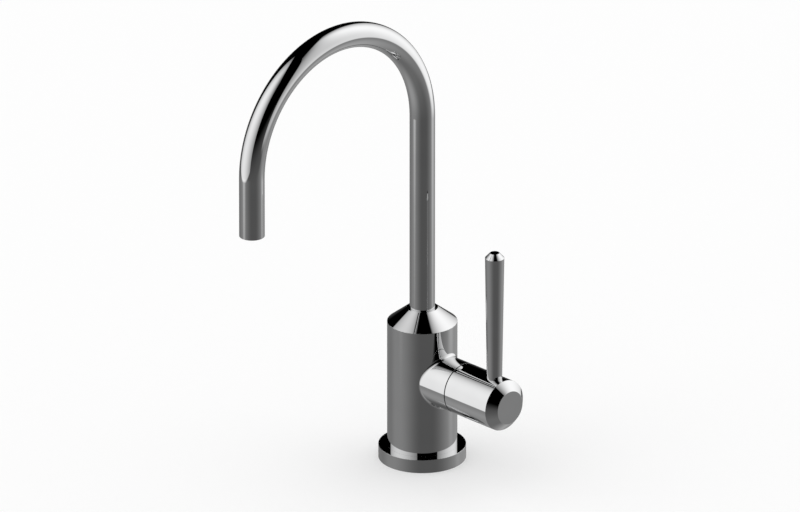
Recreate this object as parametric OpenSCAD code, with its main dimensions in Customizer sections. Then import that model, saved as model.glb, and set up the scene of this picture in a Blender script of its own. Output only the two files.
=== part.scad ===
// Drinking water filter tap: deck-mounted, one lever, swan-neck spout.
// Millimetres. Origin: centre of the flange's underside, at worktop level.
// +Z is up, the spout points to -Y and the lever's barrel to +X.

/* [Base] */
// Diameter of the base flange
flange_d = 50; // [46:1:60]
// Height of the base flange
flange_h = 8; // [6:0.5:14]
// Rounding of the flange's visible edges
flange_edge = 0.3; // [0.2:0.1:1.5]
// Width of the rubber ring under the flange
gasket_w = 4; // [2:0.5:6]
// Thickness of the rubber ring under the flange
gasket_t = 2; // [1:0.25:3]
// Metal rim left outside the rubber ring
gasket_rim = 2; // [1:0.25:3]

/* [Body] */
// Diameter of the body
body_d = 40; // [38:0.5:44]
// Height of the body's plain cylinder, above the flange
body_h = 75.8; // [72:0.2:90]
// Height of the conical shoulder
shoulder_h = 8.5; // [8:0.1:14]
// Flat land round the spout at the top of the shoulder
shoulder_land = 1.6; // [0.3:0.1:2]
// Diameter of the body's spigot in the flange
spigot_d = 34; // [31:0.5:36]
// Depth of the body's spigot in the flange
spigot_h = 2; // [1:0.25:3]

/* [Inlet] */
// Core diameter of the tapped supply inlet
inlet_d = 9; // [8.2:0.1:11]
// Depth of the tapped supply inlet
inlet_l = 14; // [10:0.5:16]
// Diameter of the waterway from the inlet to the valve seat
water_d = 8; // [5:0.25:8]
// Diameter of the passage from the valve up to the spout
riser_d = 4.4; // [2.5:0.1:4.6]

/* [Spout] */
// Outside diameter of the spout tube
tube_d = 14.5; // [12:0.25:16]
// Wall of the spout tube
tube_wall = 1; // [0.75:0.05:1.5]
// Reach of the spout, from riser axis to outlet axis
reach = 133; // [90:1:180]
// Height above the worktop at which the arch starts
spring_h = 209.6; // [150:0.2:260]
// Straight drop from the arch to the outlet
drop_l = 34.6; // [20:0.2:50]
// Wall of the spout tail, outside the tube
tail_wall = 2.7; // [2.4:0.1:3]
// Length of the spout tail in its socket
tail_l = 9.5; // [8.5:0.25:10]
// Thickness of the tail's floor, below the tube's end
tail_floor = 2.8; // [1.5:0.1:3.5]
// Width of the collar that holds the spout down
collar_w = 3.2; // [2:0.1:3.4]
// Thickness of that collar
collar_t = 3; // [2:0.1:3.5]
// Thickness of the slide washers below and above the collar
slide_t = 1; // [0.6:0.1:1.2]
// Thickness of the cap over the spout's collar, below the shoulder
cap_web = 3.6; // [3:0.1:4]
// How far the tail's neck stands up past the upper slide washer
neck_l = 2.2; // [1:0.1:3]
// Wall of the tail's neck, outside the tube
neck_wall = 1.45; // [1:0.05:1.8]
// Wall of the guide bush round the spout
bush_wall = 1.4; // [1:0.05:1.6]
// Thickness of the cap's lip over the guide bush
lip_t = 1.5; // [1:0.1:2.5]
// Wall of the cap's skirt in the body
skirt_wall = 2.6; // [2:0.1:2.8]

/* [Outlet] */
// How far the outlet insert sits inside the spout's end
outlet_recess = 0.6; // [0.3:0.1:2]
// Length of the outlet insert
insert_l = 8; // [6:0.5:14]
// Wall of the outlet insert
insert_wall = 1; // [0.6:0.1:1.5]
// Height and width of the lip that holds the straightener
insert_lip = 0.6; // [0.4:0.1:1]
// Thickness of the straightener disc
straight_t = 2; // [1:0.25:4]
// Diameter of the holes in the straightener
straight_hole_d = 1.1; // [0.6:0.1:1.3]
// Distance between the rings of holes
straight_pitch = 1.75; // [1.6:0.05:1.8]
// Thickness of the seal above the insert
outlet_seal_t = 1.5; // [1:0.25:3]

/* [Barrel and hub] */
// Height of the valve's axis above the worktop
axis_h = 52.1; // [49:0.1:53]
// Diameter of the barrel and the hub
barrel_d = 29.8; // [28.6:0.1:32]
// Distance from the body's axis to the middle of the seam
seam_x = 33.5; // [33:0.1:38]
// Width of the seam between barrel and hub
seam_w = 0.7; // [0.5:0.05:1.2]
// Depth of the seam, down to its washer
seam_depth = 0.8; // [0.4:0.1:1]
// Length of the hub, from the seam to its end chamfer
hub_l = 33.05; // [31:0.05:45]
// Length of the hub's end chamfer
hub_chamfer_l = 4.9; // [2:0.1:6]
// Diameter of the hub's flat end face
hub_face_d = 19.6; // [14:0.1:24]
// Diameter of the barrel's spigot in the body
barrel_spigot_d = 24; // [22.5:0.5:25]
// Solid length of the hub past the spindle's bore
hub_end_wall = 4.8; // [3:0.1:8]

/* [Lever] */
// Distance from the lever's axis to the hub's end chamfer
lever_back = 7.9; // [6.5:0.1:10]
// Length of the lever, from the valve's axis to its tip
lever_l = 91.5; // [60:0.5:120]
// Diameter of the lever at its shoulder
lever_d = 11; // [9.5:0.1:13]
// Diameter of the lever where it enters the hub
lever_root_d = 8.8; // [7.5:0.1:9.4]
// Height of the lever's tip chamfer
lever_chamfer_h = 3.4; // [1:0.1:6]
// Diameter of the flat on the lever's tip
lever_tip_d = 5.4; // [2:0.1:8]
// Depth to which the lever is sunk into the hub
lever_sink = 2.6; // [1.5:0.1:3]
// Diameter of the lever's stud and of the grub screw
stud_d = 5.8; // [4:0.1:6]
// Length of the grub screw
grub_l = 4.6; // [3:0.1:5]
// Depth of the flat that the grub screw seats on
grub_flat = 0.6; // [0.3:0.1:1]

/* [Cartridge] */
// Distance from the body's axis to the valve seat
seat_x = 5; // [4.5:0.1:5.5]
// Length of the valve chamber in the body
chamber_l = 5; // [4.8:0.1:6]
// Thread diameter of the cartridge
cart_d = 18; // [17.5:0.1:19]
// Length of the cartridge's threaded collar
cart_thread_l = 10.4; // [8:0.1:11]
// Diameter of the cartridge's nose
nose_d = 15.2; // [14.6:0.1:15.6]
// Bore of the cartridge's nose
nose_bore_d = 12.2; // [12:0.1:12.6]
// Gap between the nose and the valve seat
nose_gap = 0.8; // [0.5:0.1:1.2]
// Hexagon of the cartridge, across flats
cart_hex = 20; // [19:0.5:21]
// Height of that hexagon
cart_hex_h = 5; // [4:0.25:6]
// Depth of that hexagon in the barrel
cart_hex_sink = 2.05; // [1.5:0.05:3]
// Diameter of the cartridge's neck
cart_neck_d = 13; // [11:0.25:16]
// Length of the cartridge's neck
cart_neck_l = 5; // [3:0.25:5]
// Diameter of the two water windows in the nose
window_d = 3.2; // [2:0.1:3.4]
// Thickness of the lip seal at the valve seat
seat_seal_t = 2; // [1.5:0.1:2.5]
// Width of the lip seal at the valve seat
seat_seal_w = 1.1; // [0.8:0.1:1.2]
// Thickness of each ceramic disc
disc_t = 2.6; // [2.2:0.1:2.8]
// Diameter of the two ports in the fixed disc
port_d = 3.4; // [2:0.1:3.4]
// Distance of the ports from the discs' axis
port_r = 3.1; // [2.5:0.1:3.1]
// Diameter of the spindle's shaft
spindle_d = 8; // [7.5:0.1:8.4]
// Thickness of the spindle's drive foot
foot_t = 3.5; // [2.5:0.1:3.6]
// Width of the spindle's drive tang
tang_w = 2.5; // [2:0.1:3]
// Length of the spindle's drive tang, across the axis
tang_l = 8.6; // [6:0.1:9]
// Depth of the drive slot in the moving disc
slot_depth = 1.2; // [0.8:0.1:1.4]
// Thickness of the washer behind the spindle's foot
thrust_t = 0.8; // [0.5:0.1:1]
// Thickness of the spindle's retaining clip
clip_t = 0.8; // [0.6:0.1:1]
// Outside diameter of the spindle's retaining clip
clip_d = 12; // [11:0.25:13]
// Room in the hub past the clip
clip_room = 1.5; // [1:0.1:3]
// Depth of the clip's groove in the spindle
clip_groove = 0.6; // [0.4:0.1:0.9]

/* [Seals] */
// Cord diameter of the spout's seals
spout_cord = 1.6; // [1.2:0.1:1.8]
// Distance between the spout's two seals
spout_seal_pitch = 3.6; // [3:0.1:4]
// Cord diameter of the barrel's seal
barrel_cord = 1.4; // [1:0.1:1.6]
// Cord diameter of the spindle's seals
spindle_cord = 1.1; // [0.9:0.1:1.3]
// Distance between the spindle's two seals
spindle_seal_pitch = 4; // [3:0.25:4.5]

// Width of a seal's groove, as a multiple of its cord
groove_w = 1.3; // [1.2:0.05:1.4]
// Land between a groove and the end of its piece
groove_land = 0.8; // [0.6:0.1:1]
// Distance from the cartridge's thread to the first spindle seal
spindle_seal_in = 3; // [2:0.25:3.5]

/* [Below the worktop] */
// Diameter of the threaded shank
shank_d = 26.4; // [24:0.2:27]
// Bore of the shank, for the supply hose
shank_bore_d = 19; // [15:0.5:20]
// Length of the shank below the worktop's top
shank_l = 55; // [51:1:90]
// Depth of the shank in the body
shank_engage = 12; // [8:0.5:13]
// Thickness of the worktop that is clamped
worktop_t = 30; // [10:1:34]
// Diameter of the clamping washers
clamp_d = 44; // [40:1:60]
// Thickness of the rubber clamping washer
clamp_gasket_t = 3; // [2:0.5:4]
// Thickness of the steel clamping washer
clamp_washer_t = 2; // [1.5:0.25:3]
// Lock nut, across flats
nut_af = 36; // [33:0.5:40]
// Bevel on the lock nut's lower corners
nut_bevel = 1.5; // [0.5:0.25:2.5]
// Height of the lock nut
nut_h = 10; // [7:0.5:12]

/* [Clearances] */
// Radial gap between pieces that are fixed together
fit_gap = 0.05; // [0.02:0.01:0.08]
// Radial gap between pieces that turn in each other
run_gap = 0.08; // [0.04:0.01:0.1]
// Gap between flat faces that slide on each other
face_gap = 0.05; // [0.02:0.01:0.08]
// Wider gap round what passes freely
free_gap = 0.35; // [0.3:0.05:0.5]

/* [Hidden] */
$fn = 96;
over = 1;
chrome = "#c4c8cc";
brass = "#b9924a";
rubber = "#2a2a2c";
steel = "#9da2a6";
ceramic = "#eeeae0";
plastic = "#e6e6e2";
dark_plastic = "#3a3b3d";

// Base and body
flange_r = flange_d / 2;
body_r = body_d / 2;
tube_r = tube_d / 2;
shank_r = shank_d / 2;
body_top = flange_h + body_h;
shoulder_top = body_top + shoulder_h;
body_foot = flange_h - spigot_h;
shank_top = body_foot + shank_engage;
inlet_top = shank_top + inlet_l;
gasket_ro = flange_r - gasket_rim;
gasket_ri = gasket_ro - gasket_w;

// Spout seat, from the bottom of the cap's skirt upwards
tube_ri = tube_r - tube_wall;
tail_r = tube_r + tail_wall;
socket_r = tail_r + run_gap;
collar_r = tail_r + collar_w;
neck_r = tube_r + neck_wall;
skirt_ri = collar_r + free_gap;
skirt_r = skirt_ri + skirt_wall;
cavity_top = body_top - cap_web;
upper_slide_z = cavity_top - slide_t;
collar_z = upper_slide_z - collar_t;
seat_z = collar_z - slide_t;
socket_z = seat_z - tail_l;
neck_top = cavity_top + neck_l;
tail_bottom = socket_z + free_gap;
tube_bottom = tail_bottom + tail_floor;
bush_r = tube_r + run_gap + bush_wall;
bush_bottom = neck_top + free_gap;
bush_top = shoulder_top - lip_t;
lip_r = tube_r + run_gap;
land_r = lip_r + shoulder_land;
spout_seal_z = tail_bottom + groove_land + groove_w * spout_cord / 2;
spout_groove_r = tail_r - spout_cord;

// Arch and outlet
bend_r = reach / 2;
outlet_z = spring_h - drop_l;
insert_z = outlet_z + outlet_recess;
insert_top = insert_z + insert_l;
insert_r = tube_ri - fit_gap;
insert_ri = insert_r - insert_wall;

// Valve, along +X from the body's axis
barrel_r = barrel_d / 2;
spigot_x = seat_x + chamber_l;
barrel_seal_x = spigot_x + groove_land + groove_w * barrel_cord / 2;
barrel_x1 = seam_x - seam_w / 2;
hub_x0 = seam_x + seam_w / 2;
cart_r = cart_d / 2;
cart_bore_r = cart_r + fit_gap;
nose_r = nose_d / 2;
nose_bore_r = nose_bore_d / 2;
hex_x0 = barrel_x1 - cart_hex_sink;
hex_x1 = hex_x0 + cart_hex_h;
thread_x0 = hex_x0 - cart_thread_l;
hex_corner_r = cart_hex / 2 / cos(30);
hex_pocket_r = hex_corner_r + free_gap;
neck_x1 = hex_x1 + cart_neck_l;
fixed_x0 = seat_x + seat_seal_t;
fixed_x1 = fixed_x0 + disc_t;
moving_x0 = fixed_x1 + face_gap;
moving_x1 = moving_x0 + disc_t;
foot_x0 = moving_x1 + face_gap;
foot_x1 = foot_x0 + foot_t;
thrust_x0 = foot_x1 + face_gap;
nose_bore_x1 = thrust_x0 + thrust_t;
spindle_r = spindle_d / 2;
spindle_bore_r = spindle_r + run_gap;
turning_r = nose_bore_r - run_gap;
seal_groove_r = spindle_r - spindle_cord;
spindle_seal_x = thread_x0 + spindle_seal_in + groove_w * spindle_cord / 2;
clip_x0 = neck_x1 + 2 * face_gap;
clip_x1 = clip_x0 + clip_t;

// Hub and lever
hub_x1 = hub_x0 + hub_l;
hub_end_x = hub_x1 + hub_chamfer_l;
lever_x = hub_x1 - lever_back;
cavity_x1 = clip_x1 + clip_room;
spindle_x1 = hub_end_x - hub_end_wall - hub_chamfer_l;
stud_r = stud_d / 2;
lever_root_r = lever_root_d / 2;
lever_seat_z = axis_h + barrel_r - lever_sink;
grub_z0 = axis_h + spindle_r - grub_flat + fit_gap;
grub_z1 = grub_z0 + grub_l;

// Clamp below the worktop
clamp_top = -worktop_t;
clamp_mid = clamp_top - clamp_gasket_t;
nut_top = clamp_mid - clamp_washer_t;
nut_bottom = nut_top - nut_h;
nut_corner_r = nut_af / 2 / cos(30);

// Round bar along the tap's upright axis
module rod_z(z0, z1, r) {
    translate([0, 0, z0])
        cylinder(h = z1 - z0, r = r);
}

// Round bar along the valve's axis
module rod_x(x0, x1, r) {
    translate([x0, 0, axis_h])
        rotate([0, 90, 0])
            cylinder(h = x1 - x0, r = r);
}

// Ring along the tap's upright axis
module ring_z(z0, z1, ro, ri) {
    difference() {
        rod_z(z0, z1, ro);
        rod_z(z0 - over, z1 + over, ri);
    }
}

// Ring along the valve's axis
module ring_x(x0, x1, ro, ri) {
    difference() {
        rod_x(x0, x1, ro);
        rod_x(x0 - over, x1 + over, ri);
    }
}

// Seal of round cord that lies on a groove floor of radius floor_r
module cord_ring(floor_r, cord) {
    rotate_extrude()
        translate([floor_r + cord / 2 + fit_gap / 2, 0])
            circle(d = cord);
}

// Groove about Z for such a seal, centred on its own plane
module seal_groove(ro, floor_r, cord) {
    ring_z(-groove_w * cord / 2, groove_w * cord / 2, ro, floor_r);
}

// Turns a shape that was made about Z to the valve's axis, with its base at x
module to_valve_axis(x) {
    translate([x, 0, axis_h])
        rotate([0, 90, 0])
            children();
}

// Path of the spout with a round section: riser, half circle and drop
module swan_neck(r, z0, z1) {
    rod_z(z0, spring_h, r);
    translate([0, -bend_r, spring_h])
        rotate([90, 0, 90])
            rotate_extrude(angle = 180)
                translate([bend_r, 0])
                    circle(r = r);
    translate([0, -reach, z1])
        cylinder(h = spring_h - z1, r = r);
}

// Section of a plain turned disc with its outer edges rounded
module rounded_section(ri, ro, h, e) {
    translate([ri, 0])
        square([ro - ri - e, h]);
    translate([ri, e])
        square([ro - ri, h - 2 * e]);
    translate([ro - e, e])
        circle(r = e);
    translate([ro - e, h - e])
        circle(r = e);
}

module base_flange() {
    color(chrome)
        difference() {
            rotate_extrude()
                rounded_section(shank_r + free_gap, flange_r, flange_h, flange_edge);
            rod_z(body_foot, flange_h + over, spigot_d / 2 + fit_gap);
            ring_z(-over, gasket_t, gasket_ro + fit_gap, gasket_ri - fit_gap);
        }
}

module deck_gasket() {
    color(rubber)
        ring_z(0, gasket_t, gasket_ro, gasket_ri);
}

module body_shell() {
    color(chrome)
        difference() {
            union() {
                rod_z(flange_h, body_top, body_r);
                rod_z(body_foot, flange_h + over, spigot_d / 2);
            }
            rod_z(body_foot - over, shank_top, shank_r + fit_gap);
            rod_z(shank_top - over, inlet_top, inlet_d / 2);
            rod_z(inlet_top - over, axis_h, water_d / 2);
            rod_x(0, seat_x + over, water_d / 2);
            rod_x(seat_x, spigot_x + over, cart_bore_r);
            rod_x(spigot_x, body_r + over, barrel_spigot_d / 2 + fit_gap);
            translate([seat_x + chamber_l / 2, 0, axis_h])
                cylinder(h = socket_z - axis_h + over, d = riser_d);
            rod_z(socket_z, seat_z + over, socket_r);
            rod_z(seat_z, body_top + over, skirt_r + fit_gap);
        }
}

module shoulder_cap() {
    color(chrome)
        rotate_extrude()
            polygon([
                [skirt_ri, seat_z], [skirt_r, seat_z], [skirt_r, body_top], [body_r, body_top],
                [land_r, shoulder_top], [lip_r, shoulder_top], [lip_r, bush_top],
                [bush_r + fit_gap, bush_top], [bush_r + fit_gap, bush_bottom - face_gap],
                [neck_r + free_gap, bush_bottom - face_gap], [neck_r + free_gap, cavity_top],
                [skirt_ri, cavity_top]
            ]);
}

module lower_slide_washer() {
    color(plastic)
        ring_z(seat_z, collar_z - face_gap, collar_r, socket_r + run_gap);
}

module upper_slide_washer() {
    color(plastic)
        ring_z(upper_slide_z + face_gap, cavity_top, collar_r, neck_r + free_gap);
}

module spout_guide_bush() {
    color(dark_plastic)
        ring_z(bush_bottom, bush_top, bush_r, tube_r + run_gap);
}

module valve_barrel() {
    color(chrome)
        difference() {
            union() {
                difference() {
                    rod_x(0, barrel_x1, barrel_r);
                    rod_z(flange_h, body_top, body_r);
                }
                rod_x(spigot_x + fit_gap, body_r + over, barrel_spigot_d / 2);
            }
            rod_x(0, hex_x0 + over, cart_bore_r);
            rod_x(hex_x0, barrel_x1 + over, hex_pocket_r);
            to_valve_axis(barrel_seal_x)
                seal_groove(body_r, barrel_spigot_d / 2 - barrel_cord, barrel_cord);
        }
}

module barrel_o_ring() {
    color(rubber)
        to_valve_axis(barrel_seal_x)
            cord_ring(barrel_spigot_d / 2 - barrel_cord, barrel_cord);
}

module seam_washer() {
    color(dark_plastic)
        ring_x(barrel_x1, hub_x0 - face_gap, barrel_r - seam_depth, hex_pocket_r);
}

module cartridge_housing() {
    color(brass)
        difference() {
            union() {
                rod_x(seat_x + nose_gap, thread_x0 + over, nose_r);
                rod_x(thread_x0, hex_x0 + over, cart_r);
                to_valve_axis(hex_x0)
                    cylinder(h = cart_hex_h, r = hex_corner_r, $fn = 6);
                rod_x(hex_x1 - over, neck_x1, cart_neck_d / 2);
            }
            rod_x(seat_x, nose_bore_x1, nose_bore_r);
            rod_x(seat_x, neck_x1 + over, spindle_bore_r);
            translate([moving_x0 + disc_t / 2, 0, axis_h - nose_r - over])
                cylinder(h = 2 * (nose_r + over), d = window_d);
        }
}

module housing_o_ring() {
    color(rubber)
        to_valve_axis(thread_x0 - (cart_r - nose_r) / 2)
            cord_ring(nose_r, cart_r - nose_r - fit_gap / 2);
}

module seat_seal() {
    color(rubber)
        ring_x(seat_x, fixed_x0, nose_bore_r - fit_gap, nose_bore_r - seat_seal_w);
}

module fixed_disc() {
    color(ceramic)
        difference() {
            rod_x(fixed_x0, fixed_x1, nose_bore_r - fit_gap);
            for (side = [-1, 1])
                translate([0, 0, side * port_r])
                    rod_x(fixed_x0 - over, fixed_x1 + over, port_d / 2);
        }
}

module moving_disc() {
    color(ceramic)
        difference() {
            rod_x(moving_x0, moving_x1, turning_r);
            for (side = [-1, 1])
                translate([0, side * port_r, 0])
                    rod_x(moving_x0 - over, moving_x1 + over, port_d / 2);
            for (side = [-1, 1])
                translate([moving_x0 - over, side * (port_r + turning_r / 2) - turning_r / 2, axis_h - port_d / 2])
                    cube([disc_t + 2 * over, turning_r, port_d]);
            translate([moving_x1 - slot_depth, -tang_w / 2 - fit_gap, axis_h - tang_l / 2 - fit_gap])
                cube([slot_depth + over, tang_w + 2 * fit_gap, tang_l + 2 * fit_gap]);
        }
}

module spindle() {
    color(brass)
        difference() {
            union() {
                rod_x(foot_x0, foot_x1, turning_r);
                rod_x(foot_x0, spindle_x1, spindle_r);
                translate([foot_x0 - slot_depth, -tang_w / 2, axis_h - tang_l / 2])
                    cube([slot_depth + over, tang_w, tang_l]);
            }
            for (i = [0, 1])
                to_valve_axis(spindle_seal_x + i * spindle_seal_pitch)
                    seal_groove(spindle_r + over, seal_groove_r, spindle_cord);
            ring_x(clip_x0 - fit_gap, clip_x1 + fit_gap, spindle_r + over, spindle_r - clip_groove);
            translate([lever_x - stud_r - fit_gap, -spindle_r, axis_h + spindle_r - grub_flat])
                cube([hub_end_x, spindle_d, spindle_r]);
        }
}

module thrust_washer() {
    color(plastic)
        ring_x(thrust_x0, nose_bore_x1, nose_bore_r - fit_gap, spindle_bore_r);
}

module spindle_o_rings() {
    color(rubber)
        for (i = [0, 1])
            to_valve_axis(spindle_seal_x + i * spindle_seal_pitch)
                cord_ring(seal_groove_r, spindle_cord);
}

module spindle_clip() {
    color(steel)
        ring_x(clip_x0, clip_x1, clip_d / 2, spindle_r - clip_groove + fit_gap);
}

module handle_hub() {
    color(chrome)
        difference() {
            union() {
                rod_x(hub_x0, hub_x1, barrel_r);
                to_valve_axis(hub_x1)
                    cylinder(h = hub_chamfer_l, r1 = barrel_r, r2 = hub_face_d / 2);
            }
            rod_x(hub_x0 - over, cavity_x1, hex_corner_r + 2 * free_gap);
            rod_x(cavity_x1 - over, spindle_x1 + fit_gap, spindle_r + fit_gap);
            translate([lever_x, 0, axis_h])
                cylinder(h = barrel_r, r = stud_r + fit_gap);
            translate([lever_x, 0, lever_seat_z])
                cylinder(h = barrel_r, r = lever_root_r + fit_gap);
        }
}

module lever_rod() {
    hub_z = axis_h + barrel_r;
    tip_z = axis_h + lever_l;
    stud_z = grub_z1 + face_gap;
    color(chrome)
        translate([lever_x, 0, 0])
            rotate_extrude()
                polygon([
                    [0, stud_z], [stud_r, stud_z], [stud_r, lever_seat_z], [lever_root_r, lever_seat_z],
                    [lever_root_r, hub_z], [lever_d / 2, tip_z - lever_chamfer_h],
                    [lever_tip_d / 2, tip_z], [0, tip_z]
                ]);
}

module grub_screw() {
    color(steel)
        translate([lever_x, 0, grub_z0])
            difference() {
                cylinder(h = grub_l, r = stud_r);
                translate([0, 0, grub_l / 2])
                    cylinder(h = grub_l, r = stud_r / 2, $fn = 6);
            }
}

module spout_tube() {
    color(chrome)
        difference() {
            swan_neck(tube_r, tube_bottom + face_gap, outlet_z);
            swan_neck(tube_ri, tube_bottom - over, outlet_z - over);
        }
}

module spout_tail() {
    color(brass)
        difference() {
            union() {
                rod_z(tail_bottom, collar_z + over, tail_r);
                rod_z(collar_z, upper_slide_z, collar_r);
                rod_z(upper_slide_z - over, neck_top, neck_r);
            }
            rod_z(tail_bottom - over, tube_bottom + over, tube_ri);
            rod_z(tube_bottom, neck_top + over, tube_r + fit_gap);
            for (i = [0, 1])
                translate([0, 0, spout_seal_z + i * spout_seal_pitch])
                    seal_groove(collar_r, spout_groove_r, spout_cord);
        }
}

module spout_o_rings() {
    color(rubber)
        for (i = [0, 1])
            translate([0, 0, spout_seal_z + i * spout_seal_pitch])
                cord_ring(spout_groove_r, spout_cord);
}

module outlet_housing() {
    color(chrome)
        translate([0, -reach, 0])
            difference() {
                rod_z(insert_z, insert_top, insert_r);
                rod_z(insert_z - over, insert_top + over, insert_ri - insert_lip);
                rod_z(insert_z + insert_lip, insert_top + over, insert_ri);
            }
}

module outlet_straightener() {
    z0 = insert_z + insert_lip;
    color(plastic)
        translate([0, -reach, 0])
            difference() {
                rod_z(z0, z0 + straight_t, insert_ri - fit_gap);
                for (ring = [0, 1, 2])
                    for (k = [0 : max(1, 6 * ring) - 1])
                        rotate(k * 60 / max(1, ring))
                            translate([ring * straight_pitch, 0, z0 - over])
                                cylinder(h = straight_t + 2 * over, d = straight_hole_d, $fn = 24);
            }
}

module outlet_seal() {
    color(rubber)
        translate([0, -reach, 0])
            ring_z(insert_top, insert_top + outlet_seal_t, insert_r, insert_ri);
}

module mounting_shank() {
    color(brass)
        ring_z(-shank_l, shank_top, shank_r, shank_bore_d / 2);
}

module clamp_gasket() {
    color(rubber)
        ring_z(clamp_mid, clamp_top, clamp_d / 2, shank_r + free_gap);
}

module clamp_washer() {
    color(steel)
        ring_z(nut_top, clamp_mid, clamp_d / 2, shank_r + free_gap);
}

module lock_nut() {
    color(brass)
        difference() {
            intersection() {
                translate([0, 0, nut_bottom])
                    cylinder(h = nut_h, r = nut_corner_r, $fn = 6);
                union() {
                    rod_z(nut_bottom + nut_bevel, nut_top, nut_corner_r + over);
                    translate([0, 0, nut_bottom])
                        cylinder(h = nut_bevel, r1 = nut_af / 2, r2 = nut_af / 2 + 2 * nut_bevel);
                }
            }
            rod_z(nut_bottom - over, nut_top + over, shank_r + fit_gap);
        }
}

base_flange();
deck_gasket();
body_shell();
shoulder_cap();
lower_slide_washer();
upper_slide_washer();
spout_guide_bush();
valve_barrel();
barrel_o_ring();
seam_washer();
cartridge_housing();
housing_o_ring();
seat_seal();
fixed_disc();
thrust_washer();
mounting_shank();
clamp_gasket();
clamp_washer();
lock_nut();
handle_hub();
lever_rod();
grub_screw();
spindle();
moving_disc();
spindle_o_rings();
spindle_clip();
spout_tube();
spout_tail();
spout_o_rings();
outlet_housing();
outlet_straightener();
outlet_seal();
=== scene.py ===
"""Finish of a drinking water filter tap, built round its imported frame.

Outlines are in millimetres, as the tap is drawn. Meshes, lamps and the camera are in metres.
"""
import math

import bmesh
import bpy
import numpy as np
from mathutils import Matrix, Vector


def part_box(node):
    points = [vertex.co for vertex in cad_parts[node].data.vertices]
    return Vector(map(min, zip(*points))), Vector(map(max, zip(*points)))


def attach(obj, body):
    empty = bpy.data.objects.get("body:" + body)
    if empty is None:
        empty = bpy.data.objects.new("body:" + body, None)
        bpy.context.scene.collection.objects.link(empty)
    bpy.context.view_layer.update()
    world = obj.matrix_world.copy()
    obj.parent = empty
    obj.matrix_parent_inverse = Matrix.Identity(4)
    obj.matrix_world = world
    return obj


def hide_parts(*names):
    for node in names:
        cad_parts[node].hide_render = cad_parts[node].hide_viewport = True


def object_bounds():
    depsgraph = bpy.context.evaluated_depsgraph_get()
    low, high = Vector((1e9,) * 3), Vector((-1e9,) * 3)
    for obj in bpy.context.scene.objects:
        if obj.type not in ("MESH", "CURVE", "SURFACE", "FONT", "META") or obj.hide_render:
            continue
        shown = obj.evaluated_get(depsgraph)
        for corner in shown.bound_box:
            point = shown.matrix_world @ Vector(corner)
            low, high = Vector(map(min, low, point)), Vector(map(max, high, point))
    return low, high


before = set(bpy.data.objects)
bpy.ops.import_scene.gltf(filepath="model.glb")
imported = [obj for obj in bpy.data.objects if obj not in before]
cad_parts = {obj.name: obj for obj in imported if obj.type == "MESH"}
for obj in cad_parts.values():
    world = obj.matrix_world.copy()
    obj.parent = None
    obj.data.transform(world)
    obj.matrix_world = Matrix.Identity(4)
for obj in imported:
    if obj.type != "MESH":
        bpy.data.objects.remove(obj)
cad_low, cad_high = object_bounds()

MM = 0.001
X, Y, Z = 0, 1, 2
LOW = {}
HIGH = {}
for node_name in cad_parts:
    corner_low, corner_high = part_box(node_name)
    LOW[node_name] = [round(v / MM, 2) for v in corner_low]
    HIGH[node_name] = [round(v / MM, 2) for v in corner_high]

# Gaps of a tight, a running and a free fit, radii of edges, and how far a cutter overshoots
FIT = 0.05
RUN = 0.08
FREE = 0.35
FINE_EDGE = 0.05
SOFT_EDGE = 0.15
OVER = 1.0

# Flange and body
FLANGE_R = HIGH["base_flange"][X]
FLANGE_TOP = HIGH["base_flange"][Z]
FLANGE_EDGE = 0.1
GASKET_R = HIGH["deck_gasket"][X]
GASKET_TOP = HIGH["deck_gasket"][Z]
GASKET_W = 4.0
BODY_R = HIGH["body_shell"][X]
BODY_FOOT = LOW["body_shell"][Z]
BODY_TOP = HIGH["body_shell"][Z]
SPIGOT_R = 17.0
SHANK_R = HIGH["mounting_shank"][X]
SHANK_TOP = HIGH["mounting_shank"][Z]
SHANK_FOOT = LOW["mounting_shank"][Z]
SHANK_BORE_R = 9.5
INLET_R = 4.5
INLET_DEPTH = 14.0
INLET_TOP = SHANK_TOP + INLET_DEPTH
WATER_R = 4.0
RISER_R = 2.2

# Shoulder and spout seat
SHOULDER_TOP = HIGH["shoulder_cap"][Z]
SEAT_Z = LOW["shoulder_cap"][Z]
CAVITY_TOP = HIGH["upper_slide_washer"][Z]
COLLAR_R = HIGH["spout_tail"][X]
COLLAR_STEP = 3.2
SKIRT_WALL = 2.6
SKIRT_RI = COLLAR_R + FREE
SKIRT_R = SKIRT_RI + SKIRT_WALL
SOCKET_R = COLLAR_R - COLLAR_STEP + RUN
SOCKET_Z = LOW["spout_tail"][Z] - FREE
BUSH_R = HIGH["spout_guide_bush"][X] + FIT
BUSH_LOW = LOW["spout_guide_bush"][Z] - FIT
BUSH_TOP = HIGH["spout_guide_bush"][Z]
TAIL_R = 8.7
NECK_R = TAIL_R + FREE

# Spout
TUBE_R = HIGH["spout_tube"][X]
TUBE_WALL = 1.0
TUBE_RI = TUBE_R - TUBE_WALL
TUBE_FOOT = LOW["spout_tube"][Z]
LIP_R = TUBE_R + RUN
LAND_W = 1.6
LAND_R = LIP_R + LAND_W
REACH = -LOW["spout_tube"][Y] - TUBE_R
BEND_R = REACH / 2
SPRING_Z = HIGH["spout_tube"][Z] - BEND_R - TUBE_R
INSERT_Z = LOW["outlet_housing"][Z]
INSERT_TOP = HIGH["outlet_housing"][Z]
INSERT_R = HIGH["outlet_housing"][X]
INSERT_WALL = 1.0
INSERT_RI = INSERT_R - INSERT_WALL
INSERT_LIP = 0.6
INSERT_RECESS = 0.6
OUTLET_Z = INSERT_Z - INSERT_RECESS

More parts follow.
